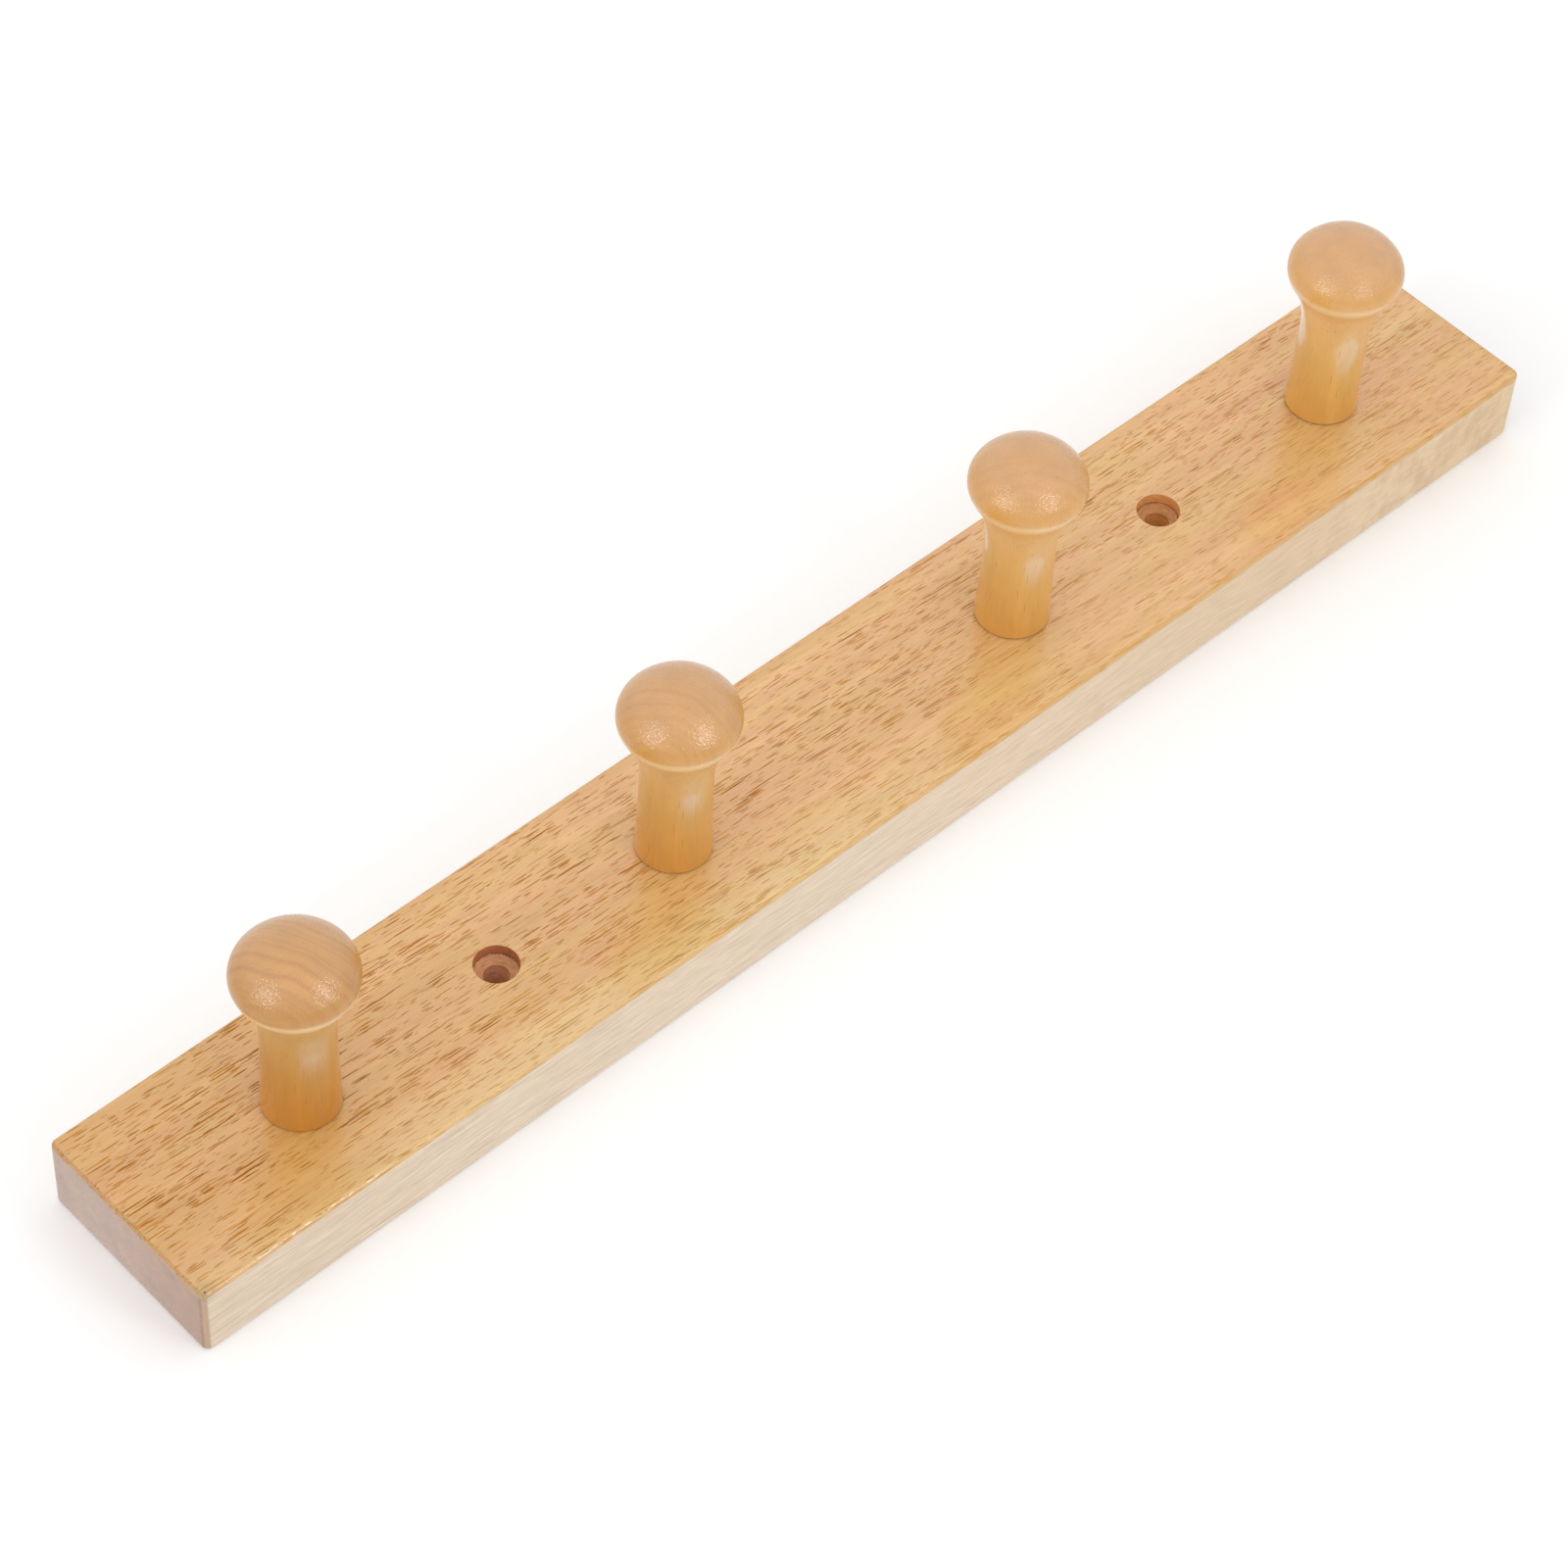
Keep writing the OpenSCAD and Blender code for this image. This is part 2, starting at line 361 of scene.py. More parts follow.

# a painted reflection of each peg lies in the board's lacquer as a long golden patch to the left
# and in front of each foot
reflection_left, reflection_ahead, reflection_narrowing = 9 * mm, 19 * mm, 1.5
reflection_rim, reflection_core = 24 * mm, 8 * mm
peg_pitch = middle(peg_nodes[1]).x - middle(peg_nodes[0]).x
painted_peg_reflection = add(tree, "ShaderNodeMath", {0: along, 1: middle(peg_nodes[0]).x - reflection_left},
             operation="SUBTRACT")
painted_peg_reflection = add(tree, "ShaderNodeMath", {0: painted_peg_reflection, 1: peg_pitch / 2, 2: -peg_pitch / 2},
             operation="WRAP")
painted_peg_reflection = add(tree, "ShaderNodeCombineXYZ", {0: painted_peg_reflection, 1: add(tree, "ShaderNodeMath", {
    0: across, 1: reflection_narrowing, 2: reflection_ahead}, operation="MULTIPLY_ADD")})
painted_peg_reflection = add(tree, "ShaderNodeVectorMath", {0: painted_peg_reflection}, operation="LENGTH")
painted_peg_reflection = add(tree, "ShaderNodeMapRange", {
    "Value": painted_peg_reflection.outputs["Value"], "From Min": reflection_rim, "From Max": reflection_core, "To Max": 0.5},
    interpolation_type="SMOOTHSTEP")
past_first = add(tree, "ShaderNodeMapRange", {"Value": to_right, "From Min": 0.1, "From Max": 0.36})
peg_reflection_colour = add(tree, "ShaderNodeMix", {0: past_first, 6: "#d2a253", 7: "#dcb266"},
                  data_type="RGBA")
face_colour = add(tree, "ShaderNodeMix", {0: painted_peg_reflection, 6: face_colour, 7: peg_reflection_colour},
                  data_type="RGBA")

# the long sides go from pale lines to plainer, warmer wood, with flames near the right end; their
# paleness is partly a painted reflection of the white floor
plainness = add(tree, "ShaderNodeMapRange", {
    "Value": to_right, "From Min": 0.15, "From Max": 0.5, "To Min": 0.35, "To Max": 0.8})
side_tone = add(tree, "ShaderNodeMix", {0: plainness, 2: noise["lines"], 3: noise["fibres"]})
darkest = add(tree, "ShaderNodeMath", {0: plainness, 1: 0.25, 2: 0.19}, operation="MULTIPLY_ADD")
palest = add(tree, "ShaderNodeMath", {0: plainness, 1: -0.25, 2: 0.81}, operation="MULTIPLY_ADD")
side_tone = add(tree, "ShaderNodeMapRange", {
    "Value": side_tone, "From Min": 0.3, "From Max": 0.7, "To Min": darkest, "To Max": palest},
    clamp=False)
flaming = add(tree, "ShaderNodeMapRange", {
    "Value": to_right, "From Min": 0.8, "From Max": 0.88, "To Max": 0.65})
flames = add(tree, "ShaderNodeMapRange", {
    "Value": noise["flames"], "From Min": 0.36, "From Max": 0.56, "To Min": 0.26, "To Max": 0.72})
side_tone = add(tree, "ShaderNodeMix", {0: flaming, 2: side_tone, 3: flames})
pale_side = add(tree, "ShaderNodeValToRGB", {"Fac": side_tone}, stops=[
    (0.3, "#cdb191"), (0.7, "#e8d2b6"), (0.5, "#ddc4a4")])
warm_side = add(tree, "ShaderNodeValToRGB", {"Fac": side_tone}, stops=[
    (0.1, "#c18f43"), (0.7, "#dfba80"), (0.5, "#d6ae70")])
warmth = add(tree, "ShaderNodeMapRange", {"Value": to_right, "From Min": 0.45})
side_colour = add(tree, "ShaderNodeMix", {0: warmth, 6: pale_side, 7: warm_side}, data_type="RGBA")
dimness = add(tree, "ShaderNodeMapRange", {
    "Value": to_right, "From Max": 0.5, "To Min": 0.95, "To Max": 1.0})
side_colour = add(tree, "ShaderNodeVectorMath", {0: side_colour, "Scale": dimness},
                  operation="SCALE")

# the sawn ends are painted darker than the face, as shade, and are speckled, rosy at the back and
# browner in front
end_tone = add(tree, "ShaderNodeMix", {0: 0.5, 2: noise["specks"], 3: noise["crowds"]})
rosy_end = add(tree, "ShaderNodeValToRGB", {"Fac": end_tone}, stops=[
    (0.35, "#936d55"), (0.65, "#b78f75"), (0.5, "#a78168")])
brown_end = add(tree, "ShaderNodeValToRGB", {"Fac": end_tone}, stops=[
    (0.35, "#845426"), (0.65, "#a67239"), (0.5, "#98612d")])
to_front = add(tree, "ShaderNodeMapRange", {
    "Value": across, "From Min": 0.4 * board_high.y, "From Max": board_low.y},
    interpolation_type="SMOOTHSTEP")
end_colour = add(tree, "ShaderNodeMix", {0: to_front, 6: rosy_end, 7: brown_end}, data_type="RGBA")

# face, sides and ends meet in arrises that are brown at the ends, and a pale painted highlight runs
# down the upright corners
colour = add(tree, "ShaderNodeMix", {0: on_side, 6: face_colour, 7: side_colour}, data_type="RGBA")
end_arris = add(tree, "ShaderNodeMapRange", {
    "Value": looks_end, "From Min": 0.1, "From Max": 0.5, "To Max": 0.45})
colour = add(tree, "ShaderNodeMix", {0: end_arris, 6: colour, 7: end_arris_brown}, data_type="RGBA")
colour = add(tree, "ShaderNodeMix", {0: on_end, 6: colour, 7: end_colour}, data_type="RGBA")
corner = add(tree, "ShaderNodeMapRange", {
    "Value": looks_up, "From Min": 0.5, "From Max": 0.2, "To Max": 0.35})
corner = add(tree, "ShaderNodeMath", {0: corner, 1: on_arris}, operation="MULTIPLY")
colour = add(tree, "ShaderNodeMix", {0: corner, 6: colour, 7: corner_highlight_cream}, data_type="RGBA")
tone = add(tree, "ShaderNodeMapRange", {
    "Value": noise["fibres"], "From Min": 0.3, "From Max": 0.7, "To Min": 0.9, "To Max": 1.09})
colour = add(tree, "ShaderNodeVectorMath", {0: colour, "Scale": tone}, operation="SCALE")

# its vessels, one size after another, fainter to the right and along the front
front_slant = -18 * mm
crowding = add(tree, "ShaderNodeMapRange", {
    "Value": noise["crowds"], "From Min": 0.35, "From Max": 0.62, "To Min": 0.72, "To Max": 1.06},
    interpolation_type="SMOOTHSTEP")
shown = add(tree, "ShaderNodeMath", {0: on_side, 1: on_end}, operation="MAXIMUM")
shown = add(tree, "ShaderNodeMapRange", {"Value": shown, "To Min": 1.0, "To Max": 0.22})
from_front = add(tree, "ShaderNodeMath", {0: to_right, 1: front_slant, 2: across},
                 operation="MULTIPLY_ADD")
from_front = add(tree, "ShaderNodeMapRange", {
    "Value": from_front, "From Min": -24 * mm, "From Max": -8 * mm, "To Min": 0.68, "To Max": 1.0},
    interpolation_type="SMOOTHSTEP")
shown = add(tree, "ShaderNodeMath", {0: shown, 1: from_front}, operation="MULTIPLY")
pits = 0.0
for length, width, share, strength, right_share in vessels:
    inside, chance = vessel_cells(tree, grain, (length, width, width), share, crowding)
    depth = add(tree, "ShaderNodeMapRange", {
        "Value": chance.outputs[1], "From Min": 0.05, "From Max": 0.55, "To Min": 0.2,
        "To Max": strength}, interpolation_type="SMOOTHSTEP")
    fading = add(tree, "ShaderNodeMapRange", {
        "Value": to_right, "From Min": 0.1, "From Max": 0.7, "To Min": 1.0, "To Max": right_share})
    for fainter in (inside, shown, fading):
        depth = add(tree, "ShaderNodeMath", {0: depth, 1: fainter}, operation="MULTIPLY")
    pits = add(tree, "ShaderNodeMath", {0: depth, 1: pits}, operation="MAXIMUM")
    inner = add(tree, "ShaderNodeMix", {0: chance.outputs[2], 6: vessel_brown, 7: vessel_gold},
                data_type="RGBA")
    colour = add(tree, "ShaderNodeMix", {0: depth, 6: colour, 7: inner}, data_type="RGBA")

# lacquer gathers to gold on the arrises, more to the right, and browns at the drip line
arris_tone = add(tree, "ShaderNodeMapRange", {"Value": below_drip, "To Min": 0.7, "To Max": 0.0})
arris_tone = add(tree, "ShaderNodeMath", {0: off_top, 1: arris_tone}, operation="MULTIPLY")
arris_tone = add(tree, "ShaderNodeMath", {0: arris_tone, 1: add(tree, "ShaderNodeMapRange", {
    "Value": to_right, "From Max": 0.7, "To Min": 0.25})}, operation="MULTIPLY")
colour = add(tree, "ShaderNodeMix", {0: arris_tone, 6: colour, 7: lacquer_gold}, data_type="RGBA")
drip_line = add(tree, "ShaderNodeMath", {0: below_drip, 1: 0.5}, operation="PINGPONG")
drip_line = add(tree, "ShaderNodeMath", {0: off_top, 1: drip_line}, operation="MULTIPLY")
colour = add(tree, "ShaderNodeMix", {0: drip_line, 6: colour, 7: drip_brown}, data_type="RGBA")

# the drilled walls are bare and scorched, with painted shade at the foot of the recess: a dark
# line, and a darker band on the cone beside it
wall_roughness = 0.9 * mm
wall_marks_per_mm = (0.6, 0.6, 4.5)
roughed = add(tree, "ShaderNodeMath", {0: noise["specks"], 1: wall_roughness, 2: height},
              operation="MULTIPLY_ADD")
drilled_depth = add(tree, "ShaderNodeMapRange", {
    "Value": roughed, "From Min": wall_roughness / 2,
    "From Max": board_thickness + wall_roughness / 2})
left_drilled, right_drilled = [
    add(tree, "ShaderNodeValToRGB", {"Fac": drilled_depth}, stops=[
        (0.72, cone), (1.0, wall), (0.8, shade), (0.852, shade), (0.862, shade_line), (0.875, wall)])
    for cone, shade, shade_line, wall in (
        ("#f0c299", "#d49c6f", "#7e5034", "#b6724b"),
        ("#f4c378", "#cc9460", "#8a5834", "#e0a262"))]
at_right = add(tree, "ShaderNodeMath", {0: to_right, 1: 0.5}, operation="GREATER_THAN")
drilled = add(tree, "ShaderNodeMix", {0: at_right, 6: left_drilled, 7: right_drilled},
              data_type="RGBA")
scorch = add(tree, "ShaderNodeVectorMath", {0: in_mm, 1: wall_marks_per_mm}, operation="MULTIPLY")
scorch = add(tree, "ShaderNodeTexNoise", {"Vector": scorch, "Scale": 1, "Detail": 3})
scorch = add(tree, "ShaderNodeMapRange", {
    "Value": scorch, "From Min": 0.3, "From Max": 0.7, "To Min": 0.78, "To Max": 1.22})
drilled = add(tree, "ShaderNodeVectorMath", {0: drilled, "Scale": scorch}, operation="SCALE")
colour = add(tree, "ShaderNodeMix", {0: in_hole, 6: colour, 7: drilled}, data_type="RGBA")

# painted glints: pale specks of painted highlight on the front arris near its left end
glints_per_mm = (0.9, 2.2, 2.2)
glint_noise = add(tree, "ShaderNodeVectorMath", {0: in_mm, 1: glints_per_mm}, operation="MULTIPLY")
glint_noise = add(tree, "ShaderNodeTexNoise", {"Vector": glint_noise, "Scale": 1, "Detail": 2})
painted_arris_glints = on_arris
for value, start, full in ((glint_noise, 0.52, 0.6), (to_right, 0.025, 0.035), (to_right, 0.135, 0.105),
                           (outward.outputs[1], -0.45, -0.6), (outward.outputs[2], 0.5, 0.62)):
    near = add(tree, "ShaderNodeMapRange", {"Value": value, "From Min": start, "From Max": full})
    painted_arris_glints = add(tree, "ShaderNodeMath", {0: near, 1: painted_arris_glints}, operation="MULTIPLY")
painted_arris_glints = add(tree, "ShaderNodeMath", {0: painted_arris_glints, 1: 0.75}, operation="MULTIPLY")
colour = add(tree, "ShaderNodeMix", {0: painted_arris_glints, 6: colour, 7: glint_white}, data_type="RGBA")

# a dead speck with a greenish halo marks the near corner
speck_place = Vector((board_low.x + 1.3 * mm, board_low.y + 0.9 * mm, board_high.z - 0.2 * mm))
speck = add(tree, "ShaderNodeVectorMath", {0: place.outputs["Object"], 1: speck_place},
            operation="DISTANCE")
for radius, share, mark in ((3.6 * mm, 0.26, "#8f7a45"), (0.42 * mm, 0.85, "#4a3018")):
    marked = add(tree, "ShaderNodeMapRange", {
        "Value": speck.outputs["Value"], "From Min": radius, "From Max": 0.5 * radius,
        "To Max": share}, interpolation_type="SMOOTHSTEP")
    colour = add(tree, "ShaderNodeMix", {0: marked, 6: colour, 7: mark}, data_type="RGBA")

# the planed back is bare and a little greyer
colour = add(tree, "ShaderNodeMix", {0: on_back, 6: colour, 7: bare_grey}, data_type="RGBA",
             blend_type="MULTIPLY")

# heights in millimetres: the wood has pits and fibres, and its film half fills the pits and
# runs along the arrises
ripple_height, fibre_height, pit_depth = 0.03, 0.012, 0.02
film_pit_depth, run_height = 0.008, 0.09
ripples_per_mm = 0.35
ripple = add(tree, "ShaderNodeTexNoise", {"Vector": in_mm, "Scale": ripples_per_mm, "Detail": 2})
relief = add(tree, "ShaderNodeMath", {0: pits, 1: -pit_depth}, operation="MULTIPLY")
relief = add(tree, "ShaderNodeMath", {0: noise["fibres"], 1: fibre_height, 2: relief},
             operation="MULTIPLY_ADD")
relief = add(tree, "ShaderNodeMath", {0: ripple, 1: ripple_height, 2: relief},
             operation="MULTIPLY_ADD")
wood_bump = add(tree, "ShaderNodeBump", {"Height": relief, "Distance": mm, "Strength": 1})
film = add(tree, "ShaderNodeMath", {0: ripple, 1: ripple_height}, operation="MULTIPLY")
film = add(tree, "ShaderNodeMath", {0: pits, 1: -film_pit_depth, 2: film}, operation="MULTIPLY_ADD")
runs = add(tree, "ShaderNodeMath", {0: on_arris, 1: noise["specks"]}, operation="MULTIPLY")
film = add(tree, "ShaderNodeMath", {0: runs, 1: run_height, 2: film}, operation="MULTIPLY_ADD")
film_bump = add(tree, "ShaderNodeBump", {"Height": film, "Distance": mm, "Strength": 1})
dullness = add(tree, "ShaderNodeMapRange", {
    "Value": noise["bands"], "To Min": 0.42, "To Max": 0.56})

# no film lies in the holes, on the back or in open pits, and at a low angle it is thinner on
# the face, which would glare there under so high an index
bare = add(tree, "ShaderNodeMath", {0: in_hole, 1: on_back}, operation="MAXIMUM")
open_pits = add(tree, "ShaderNodeMapRange", {"Value": pits, "From Max": 0.4})
bare = add(tree, "ShaderNodeMath", {0: bare, 1: open_pits}, operation="MAXIMUM")
lacquered = add(tree, "ShaderNodeMapRange", {"Value": bare, "To Min": 0.95, "To Max": 0.0})
turned_away = add(tree, "ShaderNodeLayerWeight", {"Blend": 0.5})
thinner = add(tree, "ShaderNodeMapRange", {
    "Value": turned_away.outputs["Facing"], "From Min": 0.34, "From Max": 0.6, "To Min": 1.0,
    "To Max": 0.3}, interpolation_type="SMOOTHSTEP")
thinner = add(tree, "ShaderNodeMix", {0: looks_up, 2: 1.0, 3: thinner})
lacquered = add(tree, "ShaderNodeMath", {0: lacquered, 1: thinner}, operation="MULTIPLY")
shader = add(tree, "ShaderNodeBsdfPrincipled", {
    "Base Color": colour, "Roughness": dullness, "Normal": wood_bump, "Specular IOR Level": 0.2,
    "Coat Weight": lacquered, "Coat Roughness": 0.2, "Coat IOR": 1.85, "Coat Normal": film_bump})
add(tree, "ShaderNodeOutputMaterial", {"Surface": shader})
board.data.materials.clear()
board.data.materials.append(board_wood)
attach(board, "root")
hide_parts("board")

# Peg screws
# A countersunk wood screw of yellow zinc plated steel holds each peg from
# the back. It has a cross recess in its head, a plain shank and a thread
# that bites into the peg, and its head lies a little below the back.
screw_head_radius = 4.0 * mm
screw_head_easing = 0.1 * mm
screw_land = 0.3 * mm
screw_shank_radius = 2.0 * mm
screw_shank_end = board_thickness - 1.1 * mm
screw_root_radius = 1.4 * mm
screw_root_start = board_thickness - 0.5 * mm
screw_point = 4.0 * mm
screw_steps = 48
thread_foot = 21.0 * mm
thread_bed = 0.8 * screw_root_radius
thread_flank = 0.5 * mm
thread_crest = 0.06 * mm
thread_pitch = 1.8 * mm
thread_stop = 1.2 * mm
thread_steps = 36
cross_length = 4.6 * mm
cross_width = 0.9 * mm
cross_depth = 2.3 * mm
cross_taper = (0.3, 0.7, 1)
cross_degrees = 20
sharp_steel_degrees = 30
screw_nodes = sorted(name for name in frame["nodes"] if name.startswith("peg_screw_"))


def wood_screw(name, node):
    """Turns a screw, winds its thread onto it and cuts the cross recess in its head."""
    low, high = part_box(node)
    length = high.z - low.z
    tip = length - screw_point
    bm = bmesh.new()
    turn(bm, trace(bm, [
        (0, 0),
        (screw_head_radius - screw_head_easing, 0),
        (screw_head_radius, screw_head_easing),
        (screw_head_radius, screw_land),
        (screw_shank_radius, screw_land + screw_head_radius - screw_shank_radius),
        (screw_shank_radius, screw_shank_end),
        (screw_root_radius, screw_root_start),
        (screw_root_radius, tip),
        (0, length)]), screw_steps)
    screw = to_mesh(bm, name)
    bm = bmesh.new()
    winding = trace(bm, [
        (thread_bed, thread_foot - thread_flank),
        (screw_shank_radius, thread_foot - thread_crest),
        (screw_shank_radius, thread_foot + thread_crest),
        (thread_bed, thread_foot + thread_flank)])
    winding.append(bm.edges.new((winding[0], winding[3])))
    turns = (length - thread_stop - thread_foot) / thread_pitch
    wound = bmesh.ops.spin(bm, geom=winding, cent=(0, 0, 0), axis=(0, 0, 1), angle=turns * math.tau,
                           steps=round(turns * thread_steps),
                           dvec=(0, 0, thread_pitch / thread_steps))
    for end in (winding, wound["geom_last"]):
        rim = [part for part in end if isinstance(part, bmesh.types.BMEdge)]
        bmesh.ops.contextual_create(bm, geom=rim)
    # the thread narrows to the point as its core does
    for vert in bm.verts:
        to_tip = max(0, (vert.co.z - tip) / screw_point)
        if 0 < to_tip < 1 and vert.co.xy.length > 0.01 * mm:
            vert.co.xy *= 1 - to_tip
    bmesh.ops.recalc_face_normals(bm, faces=bm.faces)
    combine(screw, "UNION", to_mesh(bm, "thread"))
    wings = []
    for quarter_turn in (0, 90):
        bm = bmesh.new()
        bmesh.ops.create_cube(bm, size=1)
        bmesh.ops.scale(bm, vec=(cross_length, cross_width, 2 * cross_depth), verts=bm.verts)
        bmesh.ops.scale(bm, vec=cross_taper, verts=[vert for vert in bm.verts if vert.co.z > 0])
        turned = Matrix.Rotation(math.radians(cross_degrees + quarter_turn), 3, "Z")
        bmesh.ops.rotate(bm, matrix=turned, verts=bm.verts)
        wings.append(to_mesh(bm, "recess_wing"))
    combine(screw, "DIFFERENCE", *wings)
    screw.data.transform(Matrix.Translation((middle(node).x, middle(node).y, low.z)))
    return screw


# Yellow zinc plating is a soft, straw coloured mirror. Its passivation leaves
# greenish and rosy clouds, and tumbling with other screws leaves fine marks,
# which are drawn about 0.4 mm long, coarser than real, so that they show.
clouds_per_metre = 420
marks_per_metre = 2600
zinc, tree = new_material("yellow_zinc_plated_steel")
place = add(tree, "ShaderNodeTexCoord")
clouds, marks = [
    add(tree, "ShaderNodeTexNoise", {
        "Vector": place.outputs["Object"], "Scale": scale, "Detail": detail})
    for scale, detail in ((clouds_per_metre, 3), (marks_per_metre, 4))]
plated = add(tree, "ShaderNodeValToRGB", {"Fac": clouds}, stops=[
    (0.35, "#b9b489"), (0.65, "#cdb291"), (0.5, "#c9ba8e")])
dullness = add(tree, "ShaderNodeMapRange", {
    "Value": marks, "From Min": 0.3, "From Max": 0.7, "To Min": 0.26, "To Max": 0.42})
bump = add(tree, "ShaderNodeBump", {"Height": marks, "Distance": 0.01 * mm, "Strength": 1})
shader = add(tree, "ShaderNodeBsdfPrincipled", {
    "Base Color": plated, "Metallic": 1, "Roughness": dullness, "Normal": bump})
add(tree, "ShaderNodeOutputMaterial", {"Surface": shader})
for number, node in enumerate(screw_nodes, start=1):
    screw = wood_screw(f"countersunk_screw_{number}", node)
    smooth_faces(screw, sharp_steel_degrees)
    screw.data.materials.clear()
    screw.data.materials.append(zinc)
    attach(screw, "root")
    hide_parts(node)

# Pegs
# Each peg is turned from one square of rubberwood, with the grain along it:
# a hollow taper, a long cove, a rounded rim and a dome. A pilot hole in its
# foot takes the screw. The pegs are dipped in a glossier, amber lacquer.
foot_radius = 8.65 * mm
foot_chamfer = 0.3 * mm
neck_radius = 8.0 * mm
cove_radius = 28.0 * mm
rim_radius = 5.8 * mm
dome_height = 9.8 * mm
pilot_radius = 1.5 * mm
pilot_depth = 22.5 * mm
taper_steps, cove_steps, rim_steps, dome_steps = 16, 24, 36, 30
peg_steps = 160


def sweep(bm, chain, centre, radians, steps):
    """Carries the last corner of a chain round a centre, given as radius and height."""
    swept = bmesh.ops.spin(bm, geom=[chain[-1]], cent=(centre[0], 0, centre[1]), axis=(0, 1, 0),
                           angle=radians, steps=steps)
    chain.append(next(part for part in swept["geom_last"] if isinstance(part, bmesh.types.BMVert)))


def turned_peg(name, node):
    """Turns one peg to the height and head of its CAD node, as arcs that run into each other."""
    low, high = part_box(node)
    height = high.z - low.z
    head_radius = (high.x - low.x) / 2
    rim_height = height - dome_height
    rim_centre = head_radius - rim_radius
    dome_radius = ((dome_height ** 2 - rim_radius ** 2 + rim_centre ** 2)
                   / (2 * (dome_height - rim_radius)))
    dome_centre = height - dome_radius
    crown_angle = math.atan2(rim_height - dome_centre, rim_centre)
    cove_centre = neck_radius + cove_radius
    lip_angle = math.acos((cove_centre - rim_centre) / (cove_radius + rim_radius))
    neck_height = rim_height - (cove_radius + rim_radius) * math.sin(lip_angle)
    swell = foot_radius - neck_radius
    taper_radius = (neck_height ** 2 + swell ** 2) / (2 * swell)
    taper_angle = math.asin((neck_height - foot_chamfer) / taper_radius)
    taper_foot = neck_radius + taper_radius * (1 - math.cos(taper_angle))
    bm = bmesh.new()
    pilot_and_foot = [
        (0, pilot_depth + pilot_radius),
        (pilot_radius, pilot_depth),
        (pilot_radius, 0),
        (taper_foot - foot_chamfer, 0),
        (taper_foot, foot_chamfer)]
    chain = trace(bm, pilot_and_foot)[:len(pilot_and_foot)]
    sweep(bm, chain, (neck_radius + taper_radius, neck_height), taper_angle, taper_steps)
    sweep(bm, chain, (cove_centre, neck_height), lip_angle, cove_steps)
    sweep(bm, chain, (rim_centre, rim_height), -(lip_angle + crown_angle), rim_steps)
    sweep(bm, chain, (0, dome_centre), -(math.pi / 2 - crown_angle), dome_steps)
    turn(bm, list(bm.verts) + list(bm.edges), peg_steps)
    return to_mesh(bm, name, (middle(node).x, middle(node).y, low.z))


# The wood of a peg is the board's, but its rings run along the shaft as fine
# upright lines and cross the dome as faint bands with pinprick vessels. The
# amber lacquer is deeper and shinier than the board's, with a slight orange
# peel on the head that breaks a lamp's glint up into sparkles.
ring_spacing = 1.25
late_wood_brown = "#b4702c"
pinprick_brown = "#9c5c26"
lip_highlight_cream = "#f4d6a6"
floor_reflection_white = "#f2eae6"
seam_brown = "#7e4216"
# a painted reflection of the white floor lies, milky, on the side that faces the front and the left
reflection_side = (-0.26, -0.966, 0)


